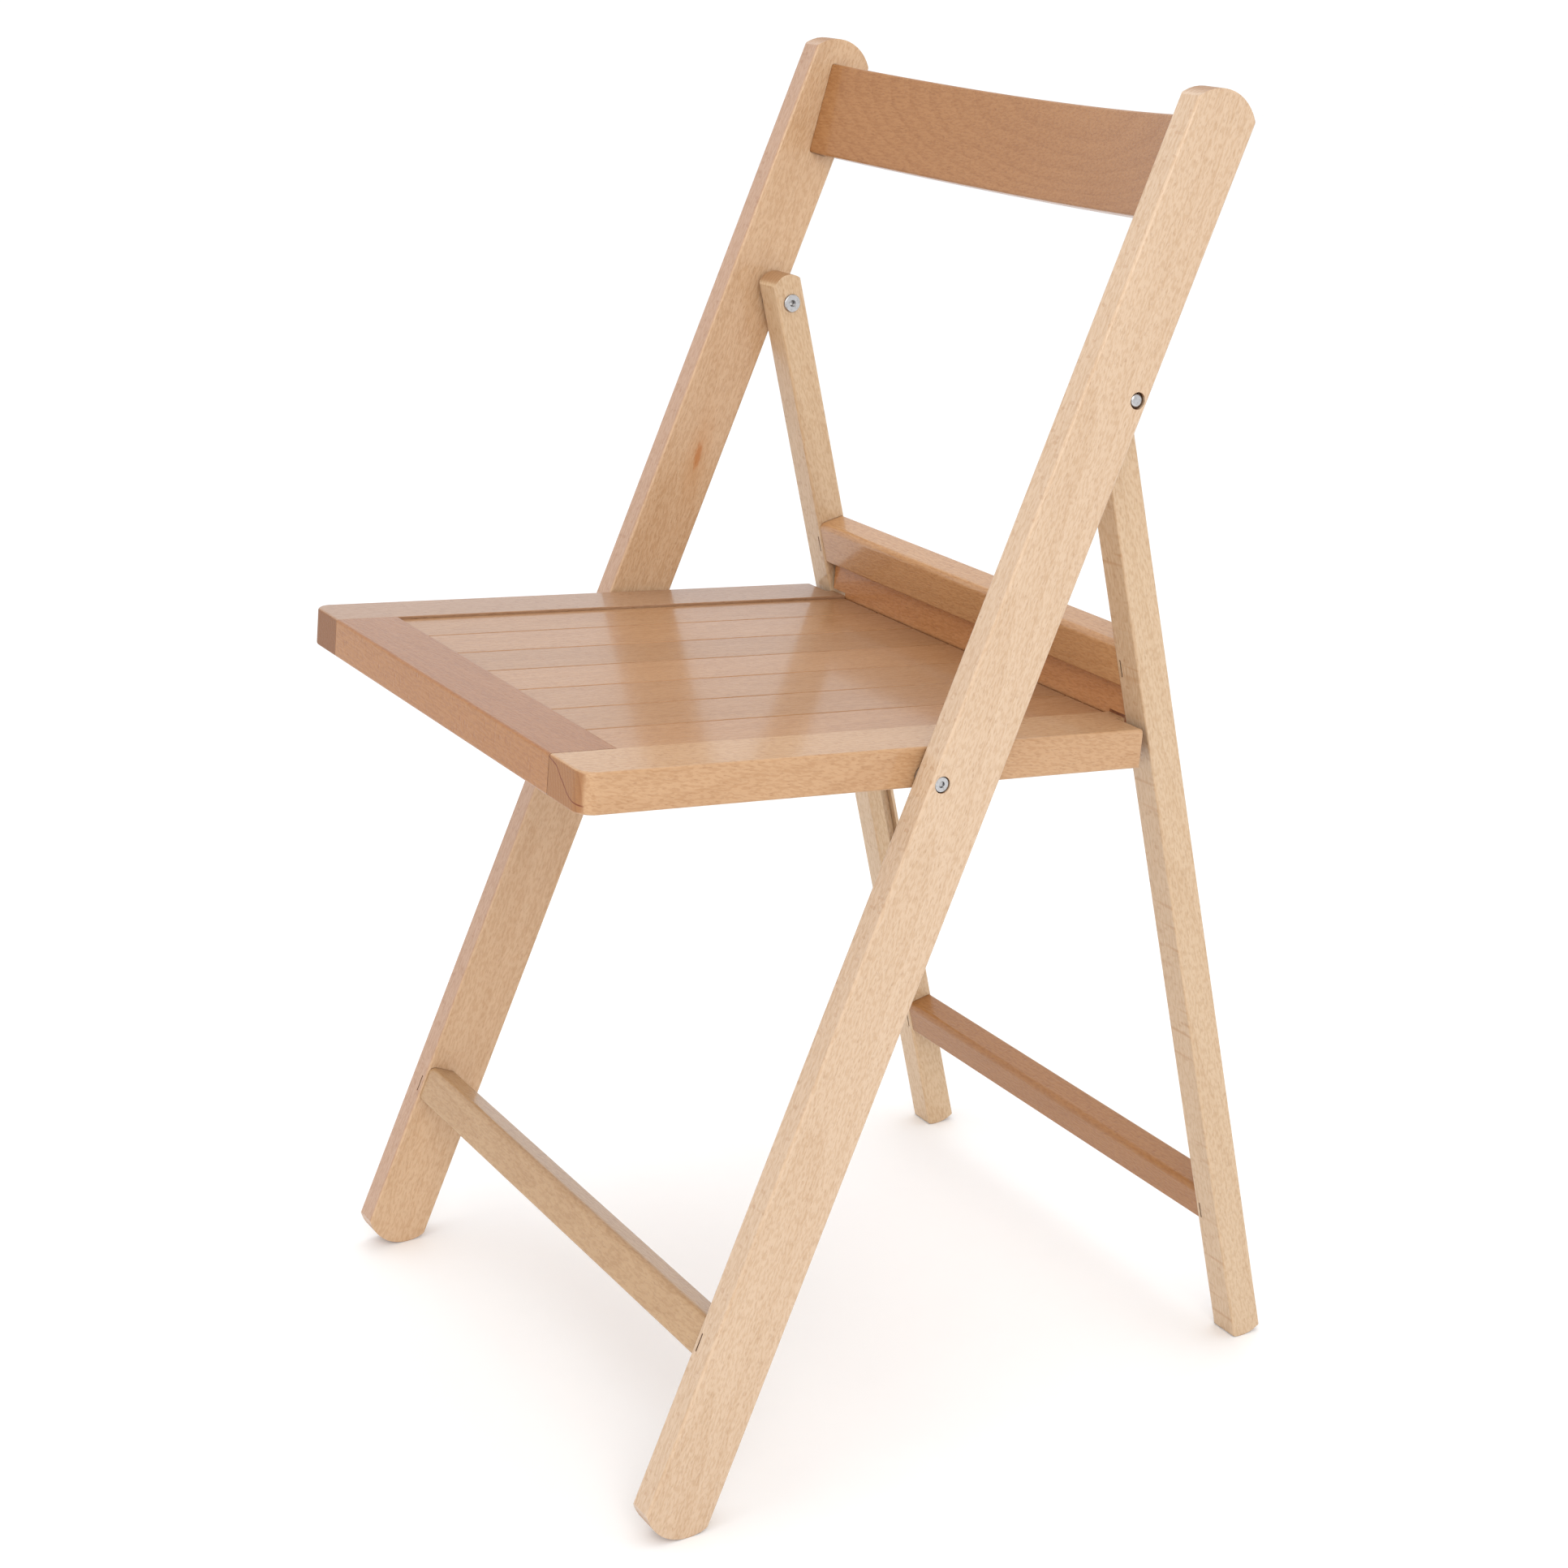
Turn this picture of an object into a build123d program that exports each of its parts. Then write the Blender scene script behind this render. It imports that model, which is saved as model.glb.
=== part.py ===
"""Wooden folding chair with a slatted seat, in millimetres.

X runs across the chair (+X is the sitter's left), Y runs to the rear and Z is up. The origin is on the floor, under
the middle of the chair's outline.

Three frames fold together. The front frame's two posts are the front legs and the back in one board each. The rear
frame's legs hang between the posts from the leg pivots. The seat turns on the seat pivots, and the guide pins in
its rear bar run down the grooves in the rear legs.

Each frame is drawn straight, in its own axes: X across, Y towards its rear (the seat's runs to its rear end) and Z
along the boards (the seat's stands on it). A location then leans it into place.
"""
from build123d import *
from math import asin, cos, degrees, radians, sin, sqrt
import os

# --- driving dimensions ------------------------------------------------------------------------------------------
CHAIR_WIDTH = 430.0

# Front frame, with heights along the post from its lower end
POST_LEAN = 24.46  # from vertical, its top to the rear
POST_LENGTH = 877.0
POST_WIDTH = 44.0
POST_THICKNESS = 18.0
POST_END_RADIUS = 27.0  # both ends are cut to an arc
SEAT_PIVOT_UP = 459.5
LEG_PIVOT_UP = 699.0
PIVOT_FROM_EDGE = 7.0  # the seat's is at the post's front edge, the leg's at its rear edge
FRONT_STRETCHER_UP = 103.0
FRONT_STRETCHER_SETBACK = 1.5
STRETCHER_HEIGHT = 23.5
STRETCHER_THICKNESS = 19.5

BACKREST_HEIGHT = 60.5
BACKREST_THICKNESS = 13.0
BACKREST_UP = 799.0  # its lower front edge, at the posts
BACKREST_SETBACK = 23.0  # from the posts' front edge to the same place
BACKREST_TILT = 7.1  # it is more upright than the posts
BACKREST_BOW = 26.0  # its middle stands this far behind its ends
BACKREST_HOUSING = 10.0  # depth of its ends in the posts

# Rear frame, with distances down the leg from its pivot
LEG_TILT = 11.75  # from vertical, its foot to the rear
LEG_WIDTH = 21.0
LEG_THICKNESS = 22.0
LEG_ABOVE_PIVOT = 19.5
LEG_TOP_RADIUS = 12.7
LEG_FOOT_RADIUS = 26.0
LEG_GAP = 4.0  # between a post and a rear leg
UPPER_RAIL_DOWN = 156.5
UPPER_RAIL_HEIGHT = 29.0
LOWER_STRETCHER_DOWN = 539.0
REAR_RAIL_SETBACK = 0.8
GROOVE_TOP_DOWN = 190.0
GROOVE_FOOT_DOWN = 412.0
GROOVE_WIDTH = 8.0
GROOVE_DEPTH = 5.5
GROOVE_OFFSET = 3.5  # behind the leg's centre line

# Seat, with distances from the seat pivot
SEAT_FALL = 5.34  # to the rear
SEAT_THICKNESS = 24.0
SEAT_TOP = 16.5
SEAT_FRONT = 215.5
SEAT_REAR = 158.5
SEAT_GAP = 2.5  # between a post and a side rail
SIDE_RAIL_WIDTH = 40.5
FRONT_RAIL_WIDTH = 42.0
SEAT_CORNER_RADIUS = 11.0
LEG_CLEARANCE = 4.0  # the side rails stop this far in front of the legs, to let them swing past
SIDE_RAIL_END_RADIUS = 2.5
SLAT_COUNT = 7
SLAT_GAP = 0.7
SLAT_END_GAP = 0.8  # between the slats' rear ends and the rear bar
SLAT_THICKNESS = 10.0
SLAT_RECESS = 1.8  # the slats lie lower than the rails
TONGUE_THICKNESS = 5.0
TONGUE_LENGTH = 6.0
REAR_BAR_THICKNESS = 18.0
REAR_BAR_RISE = 21.0  # above the side rails
REAR_BAR_GAP = 1.5  # between its ends and the legs
REAR_BAR_NOTCH_RISE = 1.8  # above the side rails, and as wide as what lies over them
GUIDE_PIN_RISE = 11.0
GUIDE_PIN_RADIUS = 3.2
GUIDE_PIN_GAP = 0.4  # the pins stop this far short of the legs' inner faces

# Joinery and hardware
TENON_THICKNESS = 9.0
TENON_LENGTH = 13.0
TENON_SHOULDER = 3.0
GLUE_GAP = 0.1  # all round a tenon or a tongue
EDGE = 1.8  # rounding of the boards' long edges
FRONT_TOP_EDGE = 4.0  # rounding of the front top edge of the rails between the legs
SLAT_EDGE = 0.5
PIN_RADIUS = 3.0  # of both pivots
RUNNING_FIT = 0.05
HEAD_RADIUS = 4.3
HEAD_POCKET_RADIUS = 5.0
HEAD_POCKET_DEPTH = 3.5
SPACER_RADIUS = 8.0
WASHER_RADIUS = 5.5
WASHER_GAP = 0.3
SLEEVE_RADIUS = 4.2
FLANGE_RADIUS = 6.0
FLANGE_THICKNESS = 1.4
STAPLE_LENGTH = 18.0
STAPLE_CROWN = 11.0
STAPLE_WIRE = 1.1
STAPLE_SUNK = 0.6
STAPLE_INSET = 4.0  # from the inner face of the board that it is driven into
FRONT_STAPLE_UP = 112.5
REAR_STAPLES_DOWN = (172.0, 554.0)

# --- worked out --------------------------------------------------------------------------------------------------
POST_OUTER = CHAIR_WIDTH / 2
POST_INNER = POST_OUTER - POST_THICKNESS
POST_FRONT = -POST_WIDTH / 2
LEG_OUTER = POST_INNER - LEG_GAP
LEG_INNER = LEG_OUTER - LEG_THICKNESS
LEG_FRONT = -LEG_WIDTH / 2
SEAT_OUTER = POST_INNER - SEAT_GAP
SLATS_OUTER = SEAT_OUTER - SIDE_RAIL_WIDTH
SEAT_BOTTOM = SEAT_TOP - SEAT_THICKNESS
PIVOT_OFFSET = POST_WIDTH / 2 - PIVOT_FROM_EDGE


def arc_depth(radius, width):
    """How far an arc across a board's width rises above its corners."""
    return radius - sqrt(radius**2 - (width / 2) ** 2)


def leaned(lean, y, z):
    """A point of a board's own axes after the board leans back by an angle."""
    turn = radians(lean)
    return y * cos(turn) + z * sin(turn), z * cos(turn) - y * sin(turn)


# Each foot's arc touches the floor, so the arc's centre is one radius above it.
post_foot = (0.0, POST_END_RADIUS * (1 - cos(radians(POST_LEAN))))
seat_pivot = [a + b for a, b in zip(post_foot, leaned(POST_LEAN, -PIVOT_OFFSET, SEAT_PIVOT_UP))]
leg_pivot = [a + b for a, b in zip(post_foot, leaned(POST_LEAN, PIVOT_OFFSET, LEG_PIVOT_UP))]
LEG_DOWN = (leg_pivot[1] - LEG_FOOT_RADIUS) / cos(radians(LEG_TILT)) + LEG_FOOT_RADIUS

# The chair's outline runs from the seat's front edge to the rear corner of the legs' feet.
front_y = seat_pivot[0] + leaned(SEAT_FALL, -SEAT_FRONT, SEAT_BOTTOM)[0]
rear_y = leg_pivot[0] + leaned(-LEG_TILT, LEG_WIDTH / 2, arc_depth(LEG_FOOT_RADIUS, LEG_WIDTH) - LEG_DOWN)[0]
CENTRE = (front_y + rear_y) / 2

AT_POST = Location((0, post_foot[0] - CENTRE, post_foot[1]), (-POST_LEAN, 0, 0))
AT_LEG = Location((0, leg_pivot[0] - CENTRE, leg_pivot[1]), (LEG_TILT, 0, 0))
AT_SEAT = Location((0, seat_pivot[0] - CENTRE, seat_pivot[1]), (-SEAT_FALL, 0, 0))

SIDES = {"left": 1, "right": -1}


# --- shapes ------------------------------------------------------------------------------------------------------
def block(x, y, z):
    """A box between two limits along each axis, given in either order."""
    middle = [sum(pair) / 2 for pair in (x, y, z)]
    size = [abs(pair[1] - pair[0]) for pair in (x, y, z)]
    return Pos(*middle) * Box(*size)


def bar_x(radius, x, y=0.0, z=0.0):
    """A round bar along X."""
    return Pos(sum(x) / 2, y, z) * Rot(0, 90, 0) * Cylinder(radius, abs(x[1] - x[0]))


def ring_x(outer, inner, x):
    """A tube along X."""
    return bar_x(outer, x) - bar_x(inner, x)


def arched_board(x, width, low, high, low_radius, high_radius):
    """A board along Z whose ends are arcs across its width."""
    half = width / 2
    low_corner = low + arc_depth(low_radius, width)
    high_corner = high - arc_depth(high_radius, width)
    outline = Wire([
        Line((-half, low_corner), (-half, high_corner)),
        ThreePointArc((-half, high_corner), (0, high), (half, high_corner)),
        Line((half, high_corner), (half, low_corner)),
        ThreePointArc((half, low_corner), (0, low), (-half, low_corner)),
    ])
    face = Plane.YZ.offset(min(x)) * Face(outline)
    board = extrude(face, amount=abs(x[1] - x[0]), dir=(1, 0, 0))
    return fillet(board.edges().filter_by(Axis.Z), EDGE)


def tenon(inner, outer, y, z, grow=0.0):
    """A tenon between two X limits, in the middle of the thickness y, and less than the height z by its shoulders."""
    middle = sum(y) / 2
    half = TENON_THICKNESS / 2 + grow
    return block(
        (inner, outer),
        (middle - half, middle + half),
        (z[0] + TENON_SHOULDER - grow, z[1] - TENON_SHOULDER + grow),
    )


def crossbar(inner, y, z):
    """A rail between two boards, with a tenon on each end and a rounder front top edge."""
    bar = block((-inner, inner), y, z)
    lengthwise = bar.edges().filter_by(Axis.X)
    front_top = lengthwise.sort_by(Axis.Z)[-2:].sort_by(Axis.Y)[:1]
    bar = fillet(front_top, FRONT_TOP_EDGE)
    square = [e for e in bar.edges().filter_by(Axis.X) if e.center().Z < z[0] + 0.1]
    square += [e for e in bar.edges().filter_by(Axis.X) if e.center().Y > y[1] - 0.1 and e.center().Z > z[1] - 0.1]
    bar = fillet(square, EDGE)
    for side in SIDES.values():
        bar += tenon(side * (inner - 1), side * (inner + TENON_LENGTH), y, z)
    return bar


def mortise(side, inner, y, z):
    """The pocket for a crossbar's tenon in the board whose inner face is at that X."""
    return tenon(side * (inner - 1), side * (inner + TENON_LENGTH + GLUE_GAP), y, z, grow=GLUE_GAP)


def staple(side, inner, front, z):
    """A staple driven in from a board's front edge to hold a tenon, its crown a little below the surface."""
    x = side * (inner + STAPLE_INSET)
    across = (x - STAPLE_WIRE / 2, x + STAPLE_WIRE / 2)
    start = front + STAPLE_SUNK
    whole = block(across, (start, start + STAPLE_LENGTH), (z - STAPLE_CROWN / 2, z + STAPLE_CROWN / 2))
    inside = STAPLE_CROWN / 2 - STAPLE_WIRE
    return whole - block(across, (start + STAPLE_WIRE, start + STAPLE_LENGTH), (z - inside, z + inside))


def staple_slot(side, inner, front, z):
    """The slot that a staple's crown leaves in the surface, with the staple's own place below it."""
    x = side * (inner + STAPLE_INSET)
    across = (x - STAPLE_WIRE / 2, x + STAPLE_WIRE / 2)
    mouth = block(across, (front - 1, front + STAPLE_SUNK), (z - STAPLE_CROWN / 2, z + STAPLE_CROWN / 2))
    return mouth + staple(side, inner, front, z)


# --- front frame -------------------------------------------------------------------------------------------------
STRETCHER_Y = (POST_FRONT + FRONT_STRETCHER_SETBACK, POST_FRONT + FRONT_STRETCHER_SETBACK + STRETCHER_THICKNESS)
STRETCHER_Z = (FRONT_STRETCHER_UP, FRONT_STRETCHER_UP + STRETCHER_HEIGHT)


def backrest(grow=0.0):
    """A slat bent to an arc, hollow side to the front, whose ends are let into the posts."""
    front_radius = (POST_INNER**2 + BACKREST_BOW**2) / (2 * BACKREST_BOW)
    half_length = POST_INNER + BACKREST_HOUSING + grow
    sweep = 2 * degrees(asin(half_length / front_radius))
    section = RectangleRounded(BACKREST_THICKNESS + 2 * grow, BACKREST_HEIGHT + 2 * grow, EDGE + grow)
    section = Pos(front_radius + BACKREST_THICKNESS / 2, BACKREST_HEIGHT / 2) * section
    slat = Rot(0, 0, -sweep / 2) * revolve(Plane.YZ * section, Axis.Z, sweep)
    lower_front = Location((0, POST_FRONT + BACKREST_SETBACK, BACKREST_UP), (BACKREST_TILT, 0, 0))
    return lower_front * Pos(0, BACKREST_BOW - front_radius, 0) * slat


def post(side):
    board = arched_board(
        (side * POST_INNER, side * POST_OUTER), POST_WIDTH, 0, POST_LENGTH, POST_END_RADIUS, POST_END_RADIUS)
    board -= mortise(side, POST_INNER, STRETCHER_Y, STRETCHER_Z)
    board -= backrest(grow=GLUE_GAP)
    board -= staple_slot(side, POST_INNER, POST_FRONT, FRONT_STAPLE_UP)
    through = (side * (POST_INNER - 1), side * (POST_OUTER + 1))
    pocket = (side * (POST_OUTER - HEAD_POCKET_DEPTH), side * (POST_OUTER + 1))
    for y, z in ((-PIVOT_OFFSET, SEAT_PIVOT_UP), (PIVOT_OFFSET, LEG_PIVOT_UP)):
        board -= bar_x(PIN_RADIUS + GLUE_GAP, through, y, z)
        board -= bar_x(HEAD_POCKET_RADIUS, pocket, y, z)
    return board


def front_stretcher():
    bar = crossbar(POST_INNER, STRETCHER_Y, STRETCHER_Z)
    for side in SIDES.values():
        bar -= staple_slot(side, POST_INNER, POST_FRONT, FRONT_STAPLE_UP)
    return bar


# --- rear frame --------------------------------------------------------------------------------------------------
UPPER_RAIL_Y = (LEG_FRONT + REAR_RAIL_SETBACK, LEG_FRONT + REAR_RAIL_SETBACK + STRETCHER_THICKNESS)
UPPER_RAIL_Z = (-UPPER_RAIL_DOWN - UPPER_RAIL_HEIGHT, -UPPER_RAIL_DOWN)
LOWER_RAIL_Z = (-LOWER_STRETCHER_DOWN - STRETCHER_HEIGHT, -LOWER_STRETCHER_DOWN)


def rear_rail(z):
    bar = crossbar(LEG_INNER, UPPER_RAIL_Y, z)
    for side in SIDES.values():
        for down in REAR_STAPLES_DOWN:
            bar -= staple_slot(side, LEG_INNER, LEG_FRONT, -down)
    return bar


def rear_leg(side):
    board = arched_board(
        (side * LEG_INNER, side * LEG_OUTER), LEG_WIDTH, -LEG_DOWN, LEG_ABOVE_PIVOT, LEG_FOOT_RADIUS, LEG_TOP_RADIUS)
    for z in (UPPER_RAIL_Z, LOWER_RAIL_Z):
        board -= mortise(side, LEG_INNER, UPPER_RAIL_Y, z)
    for down in REAR_STAPLES_DOWN:
        board -= staple_slot(side, LEG_INNER, LEG_FRONT, -down)
    groove_x = (side * (LEG_INNER - 1), side * (LEG_INNER + GROOVE_DEPTH))
    half = GROOVE_WIDTH / 2
    ends = (-GROOVE_TOP_DOWN - half, -GROOVE_FOOT_DOWN + half)
    board -= block(groove_x, (GROOVE_OFFSET - half, GROOVE_OFFSET + half), ends)
    for end in ends:
        board -= bar_x(half, groove_x, GROOVE_OFFSET, end)
    return board - bar_x(SLEEVE_RADIUS, (side * (LEG_INNER - 1), side * (LEG_OUTER + 1)))


# --- pivots, each drawn about its own axis -----------------------------------------------------------------------
HEAD_INNER = POST_OUTER - HEAD_POCKET_DEPTH
DOME_OUTER = POST_OUTER - 0.6
RING_OUTER = POST_OUTER - 0.9
BOLT_END = LEG_INNER + 4.0
SEAT_PIN_END = SEAT_OUTER - 26.0


def leg_bolt(side):
    """A domed bolt, sunk in the post's outer face, that reaches into the sleeve nut in the leg."""
    head = bar_x(HEAD_RADIUS, (side * HEAD_INNER, side * DOME_OUTER))
    rim = head.edges().filter_by(GeomType.CIRCLE).filter_by(lambda e: abs(e.center().X) > HEAD_INNER + 1)
    head = fillet(rim, 2.0)
    return head + bar_x(PIN_RADIUS, (side * HEAD_INNER, side * BOLT_END))


def leg_sleeve_nut(side):
    """A flanged sleeve on the leg's inner face, with a dark socket for the key."""
    flange_face = LEG_INNER - FLANGE_THICKNESS
    flange = bar_x(FLANGE_RADIUS, (side * flange_face, side * LEG_INNER))
    rim = flange.edges().filter_by(GeomType.CIRCLE).filter_by(lambda e: abs(e.center().X) < LEG_INNER - 1)
    sleeve = fillet(rim, 0.8) + bar_x(SLEEVE_RADIUS, (side * LEG_INNER, side * LEG_OUTER))
    sleeve -= bar_x(PIN_RADIUS + RUNNING_FIT, (side * (BOLT_END - 0.5), side * (LEG_OUTER + 1)))
    return sleeve - bar_x(2.3, (side * (flange_face - 1), side * (LEG_INNER + 2)))


def seat_pin(side):
    """A pin with a dished ring for a head, from the post's outer face into the seat's side rail."""
    head = bar_x(HEAD_RADIUS, (side * HEAD_INNER, side * RING_OUTER))
    head -= bar_x(2.0, (side * (RING_OUTER - 1.2), side * POST_OUTER))
    return head + bar_x(PIN_RADIUS, (side * HEAD_INNER, side * SEAT_PIN_END))


def washer(side, radius, board_face):
    """A ring that lies on the post's inner face and keeps the moving board off it."""
    return ring_x(radius, PIN_RADIUS + GLUE_GAP, (side * POST_INNER, side * (board_face + WASHER_GAP)))


# --- seat --------------------------------------------------------------------------------------------------------
FRONT_RAIL_Y = (-SEAT_FRONT, -SEAT_FRONT + FRONT_RAIL_WIDTH)
SEAT_Z = (SEAT_BOTTOM, SEAT_TOP)
SLAT_Z = (SEAT_TOP - SLAT_RECESS - SLAT_THICKNESS, SEAT_TOP - SLAT_RECESS)
TONGUE_Z = (sum(SLAT_Z) / 2 - TONGUE_THICKNESS / 2, sum(SLAT_Z) / 2 + TONGUE_THICKNESS / 2)
SLOT_Z = (TONGUE_Z[0] - GLUE_GAP, TONGUE_Z[1] + GLUE_GAP)
SLOT_DEPTH = TONGUE_LENGTH + 0.5
BAR_END = LEG_INNER - REAR_BAR_GAP
BAR_Y = (SEAT_REAR, SEAT_REAR + REAR_BAR_THICKNESS)
GUIDE_PIN_AT = (sum(BAR_Y) / 2, SEAT_TOP + GUIDE_PIN_RISE)
GUIDE_PIN_LENGTH = 20.0


def side_rail(side):
    """A side rail. Its rear end is full length beside the slats and shorter where the leg swings past."""
    short_end = SEAT_REAR - LEG_CLEARANCE
    rail = block((side * SLATS_OUTER, side * BAR_END), (-SEAT_FRONT, SEAT_REAR), SEAT_Z)
    rail += block((side * BAR_END, side * SEAT_OUTER), (-SEAT_FRONT, short_end), SEAT_Z)
    corner = [e for e in rail.edges().filter_by(Axis.Z) if e.center().Y < 0 and abs(e.center().X) > SEAT_OUTER - 1]
    rail = fillet(corner, SEAT_CORNER_RADIUS)
    rear_top = [e for e in rail.edges().filter_by(Axis.X)
                if abs(e.center().Y - short_end) < 0.1 and e.center().Z > SEAT_TOP - 0.1]
    rail = fillet(rear_top, SIDE_RAIL_END_RADIUS)
    lengthwise = [e for e in rail.edges().filter_by(Axis.Y) if e.length > SEAT_REAR]
    beside_slats = [e for e in lengthwise if abs(e.center().X) < SLATS_OUTER + 0.1 and e.center().Z > SEAT_TOP - 0.1]
    rail = fillet([e for e in lengthwise if e not in beside_slats], EDGE)
    beside_slats = [e for e in rail.edges().filter_by(Axis.Y)
                    if abs(e.center().X) < SLATS_OUTER + 0.1 and e.center().Z > SEAT_TOP - 0.1]
    rail = fillet(beside_slats, SLAT_EDGE)
    rail -= tenon(
        side * (SLATS_OUTER - 1), side * (SLATS_OUTER + TENON_LENGTH + GLUE_GAP), FRONT_RAIL_Y, SEAT_Z, grow=GLUE_GAP)
    return rail - bar_x(PIN_RADIUS + RUNNING_FIT, (side * (SEAT_PIN_END - 0.5), side * (SEAT_OUTER + 1)))


def front_rail():
    rail = block((-SLATS_OUTER, SLATS_OUTER), FRONT_RAIL_Y, SEAT_Z)
    rail = fillet(rail.edges().filter_by(Axis.X), EDGE)
    rail -= block((-SLATS_OUTER, SLATS_OUTER), (FRONT_RAIL_Y[1] - SLOT_DEPTH, FRONT_RAIL_Y[1] + 1), SLOT_Z)
    for side in SIDES.values():
        rail += tenon(side * (SLATS_OUTER - 3), side * (SLATS_OUTER + TENON_LENGTH), FRONT_RAIL_Y, SEAT_Z)
    return rail


def slat(index):
    """One slat, counted from the right, with a tongue on each end."""
    pitch = 2 * SLATS_OUTER / SLAT_COUNT
    x = (-SLATS_OUTER + index * pitch + SLAT_GAP / 2, -SLATS_OUTER + (index + 1) * pitch - SLAT_GAP / 2)
    rear_end = SEAT_REAR - SLAT_END_GAP
    board = block(x, (FRONT_RAIL_Y[1], rear_end), SLAT_Z)
    board = chamfer(board.edges().filter_by(Axis.Y), SLAT_EDGE)
    tongue_x = (x[0] + 1, x[1] - 1)
    board += block(tongue_x, (FRONT_RAIL_Y[1] - TONGUE_LENGTH, FRONT_RAIL_Y[1] + 1), TONGUE_Z)
    return board + block(tongue_x, (rear_end - 1, SEAT_REAR + TONGUE_LENGTH), TONGUE_Z)


def rear_bar():
    """The bar behind the slats. It stands above the seat, and its lower corners are cut away beside the legs."""
    bar = block((-BAR_END, BAR_END), BAR_Y, (SLAT_Z[0], SEAT_TOP + REAR_BAR_RISE))
    bar = fillet(bar.edges().filter_by(Axis.X).group_by(Axis.Z)[-1], EDGE)
    bar -= block((-SLATS_OUTER, SLATS_OUTER), (SEAT_REAR - 1, SEAT_REAR + SLOT_DEPTH), SLOT_Z)
    for side in SIDES.values():
        bar -= block(
            (side * SLATS_OUTER, side * (BAR_END + 1)),
            (BAR_Y[0] - 1, BAR_Y[1] + 1),
            (SLAT_Z[0] - 1, SEAT_TOP + REAR_BAR_NOTCH_RISE),
        )
        bar -= bar_x(GUIDE_PIN_RADIUS, (side * (BAR_END - GUIDE_PIN_LENGTH), side * (BAR_END + 1)), *GUIDE_PIN_AT)
    return bar


def guide_pin(side):
    """A steel pin in the rear bar's end. It stops just short of the leg, in whose groove the real one runs."""
    return bar_x(
        GUIDE_PIN_RADIUS, (side * (BAR_END - GUIDE_PIN_LENGTH), side * (LEG_INNER - GUIDE_PIN_GAP)), *GUIDE_PIN_AT)


# --- nodes -------------------------------------------------------------------------------------------------------
def pair(make, place):
    """The same piece on both sides, as one group of separate solids."""
    return Compound(children=[place * make(side) for side in SIDES.values()])


nodes = {
    "backrest_slat": AT_POST * backrest(),
    "front_stretcher": AT_POST * front_stretcher(),
    "front_frame_staples": pair(lambda side: staple(side, POST_INNER, POST_FRONT, FRONT_STAPLE_UP), AT_POST),
    "leg_pivot_bolts": pair(leg_bolt, AT_LEG),
    "leg_pivot_spacers": pair(lambda side: washer(side, SPACER_RADIUS, LEG_OUTER), AT_LEG),
    "leg_pivot_sleeve_nuts": pair(leg_sleeve_nut, AT_LEG),
    "rear_upper_rail": AT_LEG * rear_rail(UPPER_RAIL_Z),
    "rear_lower_stretcher": AT_LEG * rear_rail(LOWER_RAIL_Z),
    "seat_pivot_pins": pair(seat_pin, AT_SEAT),
    "seat_pivot_washers": pair(lambda side: washer(side, WASHER_RADIUS, SEAT_OUTER), AT_SEAT),
    "seat_front_rail": AT_SEAT * front_rail(),
    "seat_rear_bar": AT_SEAT * rear_bar(),
    "seat_guide_pins": pair(guide_pin, AT_SEAT),
}
nodes["rear_frame_staples"] = Compound(children=[
    AT_LEG * staple(side, LEG_INNER, LEG_FRONT, -down) for side in SIDES.values() for down in REAR_STAPLES_DOWN])
for name, side in SIDES.items():
    nodes[f"{name}_post"] = AT_POST * post(side)
    nodes[f"{name}_rear_leg"] = AT_LEG * rear_leg(side)
    nodes[f"seat_{name}_rail"] = AT_SEAT * side_rail(side)
for index in range(SLAT_COUNT):
    nodes[f"seat_slat_{index + 1}"] = AT_SEAT * slat(index)

os.makedirs("parts", exist_ok=True)
for name, shape in nodes.items():
    export_step(shape, f"parts/{name}.step")
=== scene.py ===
"""The looks of the wooden folding chair: lacquered beech boards, plated steel pivots, soft studio light.

Every CAD board keeps its shape and gets wood that runs along it. The wood is worked out in three dimensions
from the board's own directions, so the grain, the year rings and the rays agree on all of its faces.
"""

import math

import bpy
import numpy as np
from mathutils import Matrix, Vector

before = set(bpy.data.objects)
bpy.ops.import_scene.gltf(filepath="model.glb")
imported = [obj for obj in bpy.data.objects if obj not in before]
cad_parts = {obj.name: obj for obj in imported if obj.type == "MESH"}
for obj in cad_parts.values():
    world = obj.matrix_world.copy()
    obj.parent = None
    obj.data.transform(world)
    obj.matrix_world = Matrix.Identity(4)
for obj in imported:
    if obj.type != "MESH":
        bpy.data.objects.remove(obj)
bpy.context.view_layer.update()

X, Y, Z = Vector((1, 0, 0)), Vector((0, 1, 0)), Vector((0, 0, 1))


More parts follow.
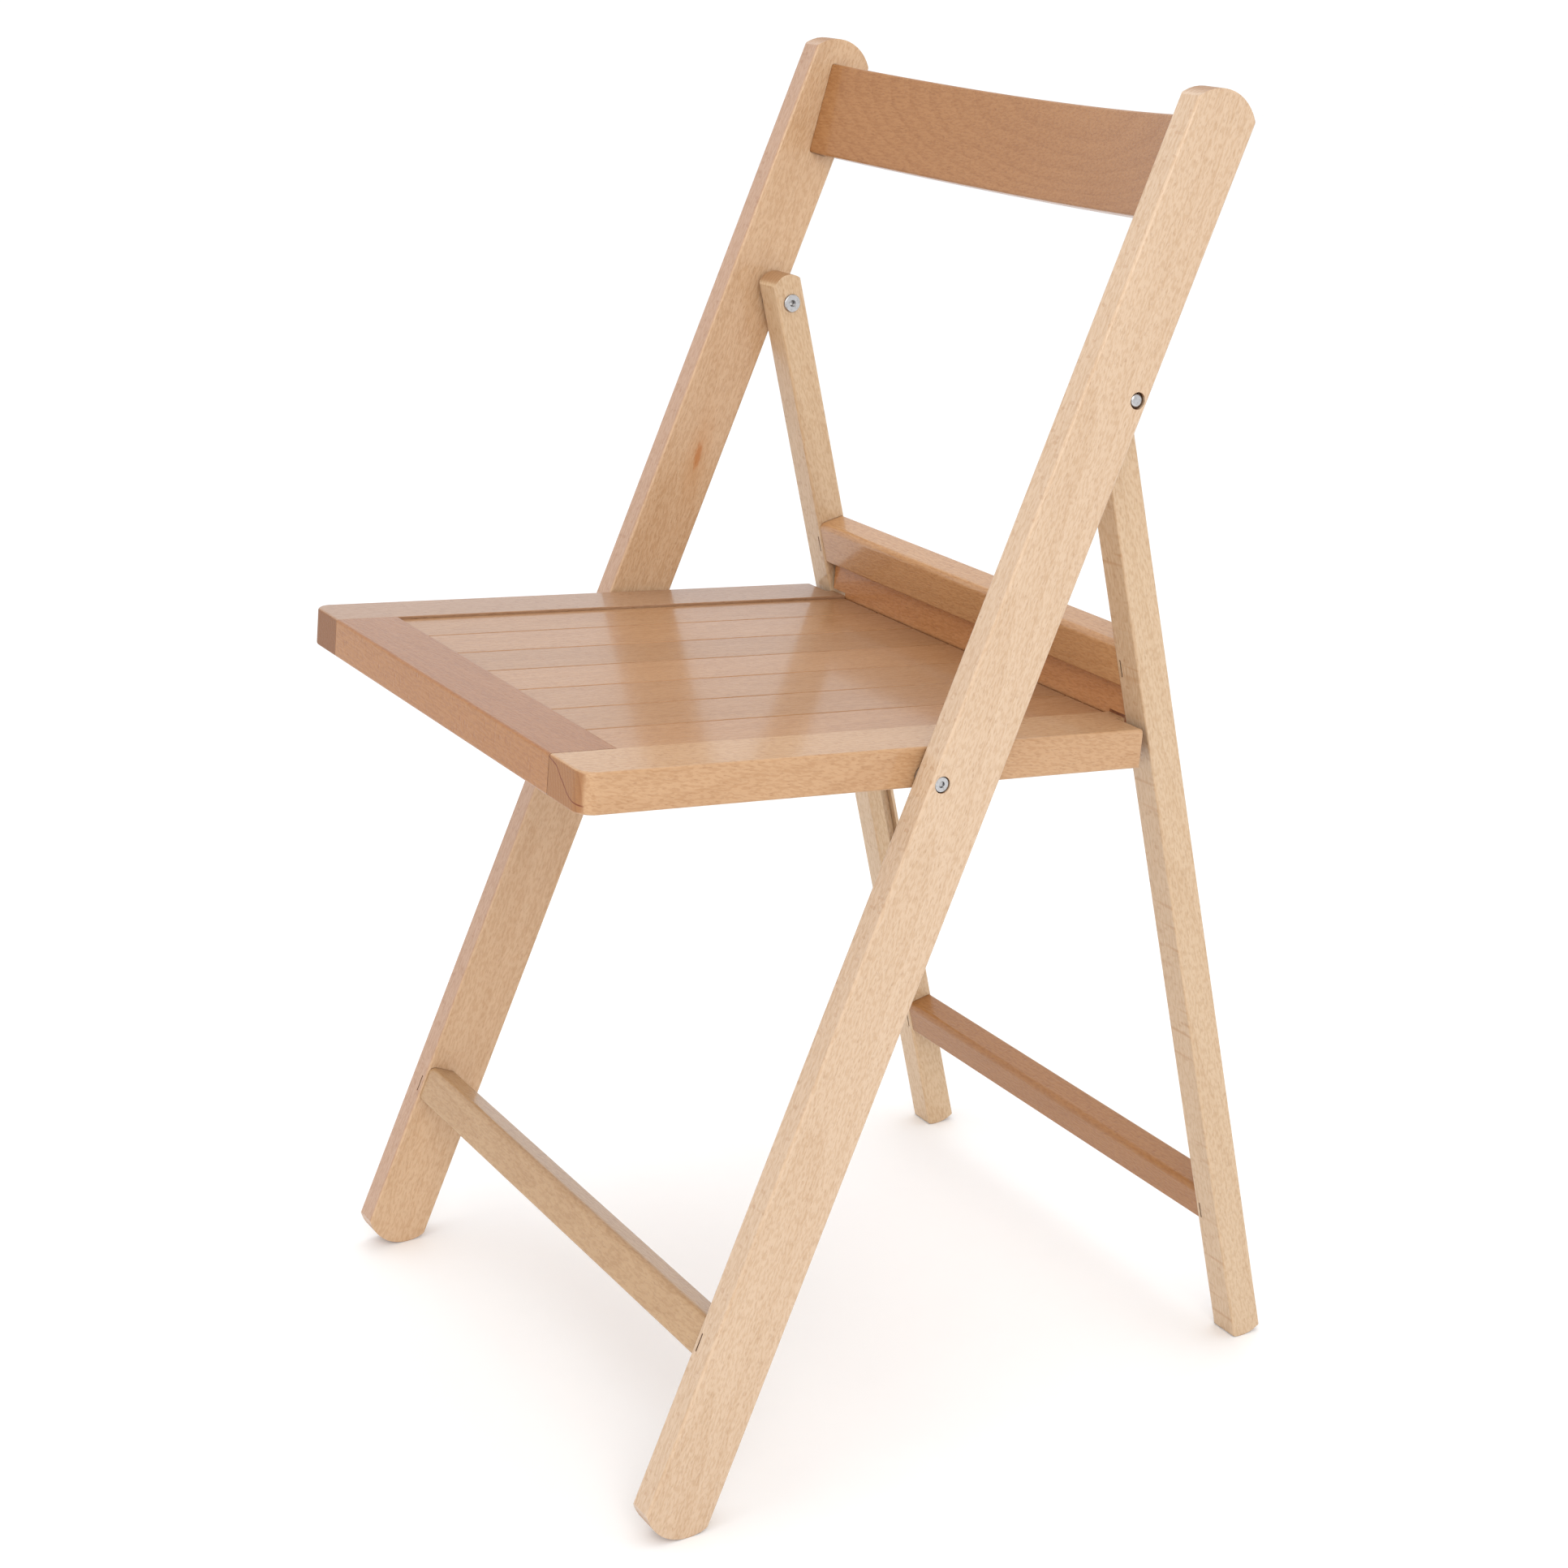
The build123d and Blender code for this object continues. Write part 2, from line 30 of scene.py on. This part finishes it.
# --- boards ---------------------------------------------------------------------------------------------
class Board:
    """A board's centre and its directions: along the grain, out of its flat face, and out of its edge."""

    def __init__(self, node, faces):
        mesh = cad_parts[node].data
        normals = np.array([p.normal for p in mesh.polygons])
        areas = np.array([p.area for p in mesh.polygons])
        corners = np.array([v.co for v in mesh.vertices])

        def largest(allowed):
            """The direction that the most surface faces, both ways."""
            chosen = normals[allowed]
            alike = np.abs(chosen @ chosen.T) > 0.99999
            return chosen[np.argmax(alike @ areas[allowed])]

        first = largest(areas > 0)
        second = largest(np.abs(normals @ first) < 0.01)
        directions = [first, second, np.cross(first, second)]
        spans = [(corners @ d).max() - (corners @ d).min() for d in directions]
        middles = [((corners @ d).max() + (corners @ d).min()) / 2 for d in directions]
        self.centre = Vector(sum(m * d for m, d in zip(middles, directions)))
        order = [int(np.argmax(spans))]
        rest = [i for i in range(3) if i not in order]
        rest.sort(key=lambda i: -abs(Vector(directions[i]).dot(faces)))
        order += rest
        self.grain, self.flat, self.edge = (Vector(directions[i]) for i in order)
        self.half = [spans[i] / 2 for i in order]
        for axis, towards in ((self.grain, Z - Y * 0.5 + X * 0.1), (self.flat, faces)):
            if axis.dot(towards) < 0:
                axis.negate()
        self.edge = self.grain.cross(self.flat)


# --- shader graphs --------------------------------------------------------------------------------------
class Graph:
    """A new material, with short calls that add a node to it and return what comes out."""

    def __init__(self, name):
        self.material = bpy.data.materials.new(name)
        self.material.use_nodes = True
        self.tree = self.material.node_tree
        self.shader = self.tree.nodes["Principled BSDF"]
        self.place = self.tree.nodes.new("ShaderNodeTexCoord")

    def add(self, kind, inputs, output=0, **settings):
        node = self.tree.nodes.new(kind)
        for key, value in settings.items():
            setattr(node, key, value)
        for key, value in inputs.items():
            self.feed(node.inputs[key], value)
        return node.outputs[output]

    def feed(self, socket, value):
        if isinstance(value, bpy.types.NodeSocket):
            self.tree.links.new(value, socket)
        else:
            socket.default_value = value

    def math(self, operation, *values, clamp=False):
        return self.add("ShaderNodeMath", dict(enumerate(values)), operation=operation, use_clamp=clamp)

    def vector(self, operation, a, b, output=0):
        return self.add("ShaderNodeVectorMath", {0: a, 1: b}, output, operation=operation)

    def dot(self, a, b):
        return self.vector("DOT_PRODUCT", a, b, "Value")

    def join(self, x, y, z):
        return self.add("ShaderNodeCombineXYZ", {0: x, 1: y, 2: z})

    def noise(self, place, scale, detail=2.0, roughness=0.5):
        """Noise from 0 to 1 whose grains have that many per metre along each axis."""
        stretched = self.vector("MULTIPLY", place, scale)
        inputs = {"Vector": stretched, "Scale": 1.0, "Detail": detail, "Roughness": roughness}
        return self.add("ShaderNodeTexNoise", inputs)

    def step(self, value, low, high):
        """0 below low and 1 above high, or the other way round, smooth between."""
        inputs = {"Value": value, "From Min": low, "From Max": high, "To Min": 0.0, "To Max": 1.0}
        return self.add("ShaderNodeMapRange", inputs, interpolation_type="SMOOTHSTEP")

    def mix(self, factor, a, b, way):
        node = self.tree.nodes.new("ShaderNodeMix")
        node.data_type = "RGBA"
        node.blend_type = way
        self.feed(node.inputs["Factor"], factor)
        self.feed(node.inputs[6], a)
        self.feed(node.inputs[7], b)
        return node.outputs[2]

    def blend(self, factor, a, b):
        """Colour a where factor is 0, b where it is 1."""
        return self.mix(factor, a, b, "MIX")

    def multiply(self, factor, a, b):
        """Colour a where factor is 0, a times b where it is 1."""
        return self.mix(factor, a, b, "MULTIPLY")

    def tint_towards(self, colour, where, strength, tint, factors):
        """The colour, drawn towards tint times factors as far as where times strength, for real marks and
        painted shade and highlight alike.
        """
        return self.blend(self.math("MULTIPLY", where, strength), colour, shade(tint, factors))

    def facing(self, axis, low, high):
        """1 on the faces that point along the axis, either way."""
        turned = self.math("ABSOLUTE", self.dot(self.place.outputs["Normal"], axis))
        return self.step(turned, low, high)

    def joint_shadow(self, distance, open_at, shut_at):
        """Painted shadow: 1 deep in a joint, where shade falls, 0 where nothing stands within the distance.
        """
        sky = self.add("ShaderNodeAmbientOcclusion", {"Distance": distance}, "AO", samples=6)
        return self.step(sky, open_at, shut_at)

    def bump(self, height, distance, strength):
        inputs = {"Height": height, "Distance": distance, "Strength": strength}
        return self.add("ShaderNodeBump", inputs)


def shade(tint, factors):
    return tuple(t * f for t, f in zip(tint, factors)) + (1.0,)


# --- wood -----------------------------------------------------------------------------------------------
RING = 0.0032  # a year's growth
RAY = (0.0034, 0.0060, 0.00070)  # a ray's height along the grain, its depth into the tree and its width
EDGE_BAND = 0.0016  # how far the paler wear and the painted edge highlight reach in from a board's edges
SHADOW_REACH = 0.0013  # how far the painted shadow reaches out of a joint
SEED_STEP = (1.31, 0.77, 0.43)  # how far apart two boards are cut from the pattern

# How many grains of each pattern a metre holds: along the board, across its flat face and across its edge
BEND = (7, 26, 26)
SLOW = (5, 34, 34)
FIBRE = (38, 900, 900)
DASH = (210, 760, 760)
PORE = (420, 3200, 3200)
WEAR = (60, 60, 60)
KNOT_RAGGED = (300, 700, 700)
STRIPE = (165, 16, 1)
STRIPE_GROUP = (24, 1, 1)
STRIPE_GROUP_ROW = 0.3  # where the groups are read from their noise
RING_WANDER = 0.0075  # how far the bends push the year rings

KNOT_LEAN = 0.12
KNOT_STRETCH = 0.28
KNOT_EYE = 0.0048
KNOT_HALO = 0.014
CRACK_PLACE = 0.016  # the crack's distance from the middle of the end, which it crosses aslant
CRACK_SLANT = 0.45
CRACK_WANDER = 0.03

# The tint's factors in each part of the wood
PALE = (1.09, 1.11, 1.14)
DARK = (0.86, 0.78, 0.69)
PORE_SHADE = (0.7, 0.56, 0.44)
RAY_SHADE = (0.68, 0.50, 0.36)
STRIPE_SHADE = (0.76, 0.58, 0.42)
HALO_SHADE = (0.92, 0.72, 0.52)
EYE_SHADE = (0.80, 0.47, 0.22)
END_SHADE = (0.66, 0.50, 0.37)
END_RING_SHADE = (0.46, 0.28, 0.20)
CRACK_SHADE = (0.35, 0.14, 0.10)
# the paler edges: real wear and a painted highlight
WEAR_AND_HIGHLIGHT_TINT = (1.14, 1.12, 1.10)
# the painted shadow in joints and gaps between parts
PAINTED_JOINT_SHADOW = (0.22, 0.12, 0.08)


def beech(node, faces, tint, seed, pith=(0.055, 0.012), slope=(0.02, 0.012), ring=RING, figure=1.0, rays=0.30,
          tilt=0.04, stripes=0.0, gloss=0.5, shadow_reach=SHADOW_REACH, knot=None, edge_face_lighting=None, crack=False):
    """Lacquered beech for one board.

    pith is how far the tree's middle lies behind the board's flat face and to its side, and slope how fast
    it moves away along the grain, which draws the arches on the flat face. tilt is how far the fibres run off
    the board's length. stripes is the strength of the dark flakes on a quarter-sawn edge. knot is a place
    along the grain and the edge, each as a share of the board's half size. The edge factor multiplies the
    colour of the faces that point along the board's edge direction, which paints light and shade on them.
    The shadow reach is how far the painted shadow reaches out of a joint. crack draws a drying crack in the
    end grain.
    """
    board = Board(node, faces)
    g = Graph("beech_" + node)
    local = g.vector("SUBTRACT", g.place.outputs["Object"], board.centre)
    u = g.dot(local, board.grain)
    f = g.dot(local, board.flat)
    e = g.dot(local, board.edge)
    leant = g.math("MULTIPLY_ADD", u, tilt, e)
    place = g.vector("ADD", g.join(u, f, leant), tuple(seed * step for step in SEED_STEP))

    bend = g.noise(place, BEND)
    if knot:
        along = g.math("SUBTRACT", u, knot[0] * board.half[0])
        beside = g.math("SUBTRACT", e, knot[1] * board.half[2])
        beside = g.math("MULTIPLY_ADD", along, KNOT_LEAN, beside)
        stretched = g.join(g.math("MULTIPLY", along, KNOT_STRETCH), beside, 0.0)
        far = g.vector("LENGTH", stretched, (0, 0, 0), "Value")
        far = g.math("MULTIPLY_ADD", g.noise(place, KNOT_RAGGED), 0.0022, far)
        eye = g.step(far, KNOT_EYE, 0.0022)
        halo = g.step(far, KNOT_HALO, 0.003)

    # Year rings about the tree's middle, which is never quite straight
    depth = g.math("ADD", g.math("MULTIPLY_ADD", u, slope[0], pith[0]), f)
    aside = g.math("ADD", g.math("MULTIPLY_ADD", u, slope[1], pith[1]), e)
    radius = g.vector("LENGTH", g.join(depth, aside, 0.0), (0, 0, 0), "Value")
    radius = g.math("MULTIPLY_ADD", bend, RING_WANDER, radius)
    if knot:
        radius = g.math("MULTIPLY_ADD", halo, 0.004, radius)
    year = g.math("FRACT", g.math("DIVIDE", radius, ring))
    late = g.math("MULTIPLY", g.math("POWER", year, 2.2), g.step(year, 1.0, 0.90))

    # Fibres, short raised dashes, rays and slow changes of colour
    fibre = g.noise(place, FIBRE, 3.0, 0.6)
    dash = g.noise(place, DASH, 1.0)
    pores = g.noise(place, PORE, 1.0)
    slow = g.noise(place, SLOW)
    sway = g.add("ShaderNodeTexNoise", {"Vector": place, "Scale": 90.0}, "Color")
    sway = g.vector("MULTIPLY", sway, (0.004, 0, 0.0007))
    cells = g.vector("DIVIDE", g.vector("ADD", place, sway), RAY)
    ray = g.tree.nodes.new("ShaderNodeTexVoronoi")
    g.feed(ray.inputs["Vector"], cells)
    ray.inputs["Scale"].default_value = 1.0
    chance = g.add("ShaderNodeSeparateColor", {"Color": ray.outputs["Color"]})
    thick = g.math("MULTIPLY", g.step(chance, 0.30, 1.0), 0.42)
    fleck = g.step(g.math("SUBTRACT", thick, ray.outputs["Distance"]), -0.04, 0.14)

    # The lacquer is thinner and paler on worn edges, with a painted highlight laid along them, and end grain
    # drinks it and turns dark
    near = []
    for along_axis, half in zip((u, f, e), board.half):
        near.append(g.step(g.math("ABSOLUTE", along_axis), half - EDGE_BAND, half - 0.0003))
    pairs = [g.math("MULTIPLY", near[i], near[j]) for i, j in ((0, 1), (0, 2), (1, 2))]
    wear_and_highlight = g.math("MAXIMUM", g.math("MAXIMUM", pairs[0], pairs[1]), pairs[2])
    wear_and_highlight = g.math("MULTIPLY", wear_and_highlight, g.step(g.noise(place, WEAR, 3.0), 0.25, 0.7))
    end = g.facing(board.grain, 0.6, 0.85)
    edgeways = g.facing(board.edge, 0.6, 0.9)

    mixed = g.math("MULTIPLY", late, 0.30 * figure)
    mixed = g.math("MULTIPLY_ADD", g.step(fibre, 0.25, 0.78), 0.18 * figure, mixed)
    mixed = g.math("MULTIPLY_ADD", g.step(dash, 0.55, 0.40), 0.44, mixed)
    mixed = g.math("MULTIPLY_ADD", g.step(slow, 0.25, 0.75), 0.17 * figure, mixed)
    colour = g.blend(mixed, shade(tint, PALE), shade(tint, DARK))
    colour = g.tint_towards(colour, g.step(pores, 0.62, 0.8), 0.18, tint, PORE_SHADE)
    colour = g.tint_towards(colour, fleck, rays, tint, RAY_SHADE)
    if stripes:
        band = g.noise(g.join(u, f, 0.0), STRIPE, 1.0)
        group = g.noise(g.join(u, STRIPE_GROUP_ROW, 0.0), STRIPE_GROUP, 1.0)
        band = g.math("MULTIPLY", g.step(band, 0.56, 0.68), g.step(group, 0.42, 0.58))
        colour = g.tint_towards(colour, g.math("MULTIPLY", band, edgeways), stripes, tint, STRIPE_SHADE)
    if knot:
        colour = g.tint_towards(colour, halo, 0.45, tint, HALO_SHADE)
        colour = g.tint_towards(colour, eye, 0.9, tint, EYE_SHADE)
    # Painted light and shade: the edge faces made lighter or darker by the edge factor
    if edge_face_lighting:
        colour = g.multiply(edgeways, colour, (*edge_face_lighting, 1.0))
    colour = g.tint_towards(colour, end, 0.92, tint, END_SHADE)
    colour = g.tint_towards(colour, g.math("MULTIPLY", end, late), 0.5, tint, END_RING_SHADE)
    if crack:
        path = g.math("MULTIPLY_ADD", f, CRACK_SLANT, g.math("MULTIPLY_ADD", bend, CRACK_WANDER, e))
        line = g.step(g.math("ABSOLUTE", g.math("SUBTRACT", path, CRACK_PLACE)), 0.0007, 0.0002)
        colour = g.tint_towards(colour, line, end, tint, CRACK_SHADE)
    # Paler edges: real wear and a painted highlight along the rounded edges
    colour = g.tint_towards(colour, wear_and_highlight, 0.40, tint, WEAR_AND_HIGHLIGHT_TINT)
    # Painted shadow: the colour darkens in joints and gaps between parts, where shade falls
    colour = g.tint_towards(colour, g.joint_shadow(shadow_reach, 0.82, 0.25), 0.94, tint, PAINTED_JOINT_SHADOW)
    g.feed(g.shader.inputs["Base Color"], colour)

    rough = g.math("MULTIPLY_ADD", fibre, 0.16, 0.34)
    rough = g.math("MULTIPLY_ADD", wear_and_highlight, 0.10, rough)
    rough = g.math("MULTIPLY_ADD", end, 0.12, rough, clamp=True)
    g.feed(g.shader.inputs["Roughness"], rough)
    height = g.math("ADD", dash, g.math("MULTIPLY", fleck, -0.3))
    height = g.math("MULTIPLY_ADD", fibre, 0.4, height)
    height = g.math("MULTIPLY_ADD", pores, -0.2, height)
    g.feed(g.shader.inputs["Normal"], g.bump(height, 0.00036, 0.8))
    g.shader.inputs["Specular IOR Level"].default_value = 0.25
    coat = g.math("MULTIPLY", g.math("MULTIPLY_ADD", end, -0.8, 1.0), gloss)
    g.feed(g.shader.inputs["Coat Weight"], coat)
    g.shader.inputs["Coat Roughness"].default_value = 0.14
    return g.material


# --- metal ----------------------------------------------------------------------------------------------
MARK = (3200, 300, 300)  # scratches and spots in a metre
SPOT = (700, 700, 700)
SCRATCH_ROUGH = 0.12


def steel(name, tint, rough, dirt=0.35):
    """Dull plated steel with fine scratches and a little dirt."""
    g = Graph(name)
    place = g.place.outputs["Object"]
    marks = g.noise(place, MARK, 3.0, 0.7)
    spots = g.step(g.noise(place, SPOT, 3.0), 0.45, 0.75)
    bright, dull = shade(tint, (1.1, 1.1, 1.1)), shade(tint, (0.75, 0.74, 0.72))
    colour = g.blend(g.math("MULTIPLY", marks, 0.5), bright, dull)
    colour = g.tint_towards(colour, spots, dirt, tint, (0.35, 0.28, 0.2))
    # Painted shadow: the steel darkens in its recesses and joints, where shade falls
    colour = g.tint_towards(colour, g.joint_shadow(SHADOW_REACH, 0.85, 0.30), 0.95, tint, (0.07, 0.06, 0.06))
    g.feed(g.shader.inputs["Base Color"], colour)
    g.feed(g.shader.inputs["Roughness"], g.math("MULTIPLY_ADD", marks, SCRATCH_ROUGH, rough))
    g.feed(g.shader.inputs["Normal"], g.bump(marks, 0.00004, 0.6))
    g.shader.inputs["Metallic"].default_value = 1.0
    return g.material


def dress(node, material):
    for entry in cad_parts[node].material_slots:
        entry.material = material


SLAT_TINT = (0.375, 0.198, 0.092)
SLAT_LIGHTNESS = 0.06  # how far one slat may be lighter or darker than the others
SLAT_TURN = 2.4  # spreads the slats' differences, in radians

# Some boards set how far their painted joint shadow reaches.
boards = {
    "left_post": dict(faces=X, tint=(0.563, 0.408, 0.278), tilt=0.05),
    # its edge faces darker: painted shade
    "right_post": dict(faces=X, tint=(0.556, 0.374, 0.228), knot=(0.325, 0.2), edge_face_lighting=(0.80, 0.74, 0.80)),
    "left_rear_leg": dict(faces=X, tint=(0.539, 0.388, 0.250), stripes=0.6),
    "right_rear_leg": dict(faces=X, tint=(0.562, 0.401, 0.250)),
    "backrest_slat": dict(faces=-Y, tint=(0.345, 0.160, 0.058), pith=(0.075, -0.030), slope=(0.35, 0.0),
                          ring=0.0045, figure=1.3),
    "front_stretcher": dict(faces=-Y, tint=(0.425, 0.265, 0.135), pith=(0.025, 0.0), slope=(0.05, 0.01),
                            ring=0.004),
    "rear_upper_rail": dict(faces=-Y, tint=(0.468, 0.250, 0.108), gloss=0.7, shadow_reach=0.003),
    "rear_lower_stretcher": dict(faces=-Y, tint=(0.321, 0.141, 0.042)),
    "seat_left_rail": dict(faces=X, tint=(0.474, 0.284, 0.150), tilt=-0.14, crack=True),
    "seat_right_rail": dict(faces=X, tint=(0.345, 0.195, 0.108), shadow_reach=0.0005),
    # its front and back faces lighter and more golden: painted light
    "seat_front_rail": dict(faces=Z, tint=(0.305, 0.127, 0.043), gloss=0.4, shadow_reach=0.002,
                            edge_face_lighting=(1.12, 1.12, 0.84)),
    "seat_rear_bar": dict(faces=-Y, tint=(0.455, 0.205, 0.076), shadow_reach=0.003),
}
slats = sorted(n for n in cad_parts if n.startswith("seat_slat_"))
for number, node in enumerate(slats):
    swing = math.sin(number * SLAT_TURN)
    tint = tuple(channel * (1 + SLAT_LIGHTNESS * swing) for channel in SLAT_TINT)
    boards[node] = dict(faces=Z, tint=tint, pith=(0.05, 0.012 * swing), ring=0.004, rays=0.45, shadow_reach=0.0028)

for seed, (node, look) in enumerate(boards.items(), start=1):
    dress(node, beech(node, seed=seed, **look))

plated = steel("plated_steel", (0.50, 0.50, 0.51), 0.24)
for node in ("leg_pivot_bolts", "leg_pivot_sleeve_nuts", "seat_pivot_pins", "seat_guide_pins"):
    dress(node, plated)
for node in ("leg_pivot_spacers", "seat_pivot_washers"):
    dress(node, steel(node + "_steel", (0.5, 0.49, 0.47), 0.36))
for node in ("front_frame_staples", "rear_frame_staples"):
    dress(node, steel(node + "_steel", (0.20, 0.15, 0.11), 0.5, dirt=0.6))


# --- floor, light and camera ----------------------------------------------------------------------------
def floor():
    half = 6.0
    mesh = bpy.data.meshes.new("floor")
    corners = [(-half, -half, 0), (half, -half, 0), (half, half, 0), (-half, half, 0)]
    mesh.from_pydata(corners, [], [(0, 1, 2, 3)])
    plane = bpy.data.objects.new("floor", mesh)
    bpy.context.scene.collection.objects.link(plane)
    g = Graph("pale_floor")
    speck = g.noise(g.place.outputs["Object"], (40, 40, 40), 4.0)
    g.feed(g.shader.inputs["Base Color"], g.blend(speck, (0.93, 0.93, 0.93, 1), (0.95, 0.95, 0.95, 1)))
    g.shader.inputs["Roughness"].default_value = 0.7
    mesh.materials.append(g.material)


def softbox(name, place, aim, size, power, tint=(1, 1, 1)):
    lamp = bpy.data.lights.new(name, "AREA")
    lamp.shape = "RECTANGLE"
    lamp.size, lamp.size_y = size
    lamp.energy = power
    lamp.color = tint
    holder = bpy.data.objects.new(name, lamp)
    holder.location = place
    holder.rotation_euler = (Vector(aim) - Vector(place)).to_track_quat("-Z", "Y").to_euler()
    bpy.context.scene.collection.objects.link(holder)


def studio():
    world = bpy.data.worlds.new("studio")
    bpy.context.scene.world = world
    world.use_nodes = True
    world.node_tree.nodes["Background"].inputs["Color"].default_value = (0.985, 0.99, 1.0, 1)
    world.node_tree.nodes["Background"].inputs["Strength"].default_value = 1.08
    middle = (0, 0, 0.45)
    softbox("key", (2.6, -0.9, 1.9), middle, (1.6, 1.6), 30, (1, 0.96, 0.90))
    softbox("front", (0.2, -3.0, 1.6), middle, (1.8, 1.4), 10)
    softbox("top", (-0.4, 0.4, 3.2), middle, (2.0, 2.0), 14)
    bpy.context.scene.view_settings.view_transform = "Standard"


def camera():
    """The viewpoint: in front of the sitter's left side and a little above the seat."""
    azimuth, elevation = math.radians(60.0), math.radians(16.22)
    data = bpy.data.cameras.new("camera")
    data.lens = 66.16
    data.sensor_width = 36.0
    data.shift_y = -0.0859
    holder = bpy.data.objects.new("camera", data)
    bpy.context.scene.collection.objects.link(holder)
    holder.location = (1.4921, -0.8660, 0.9499)
    look = Vector((
        -math.sin(azimuth) * math.cos(elevation),
        math.cos(azimuth) * math.cos(elevation),
        -math.sin(elevation),
    ))
    holder.rotation_euler = look.to_track_quat("-Z", "Y").to_euler()
    bpy.context.scene.camera = holder


floor()
studio()
camera()
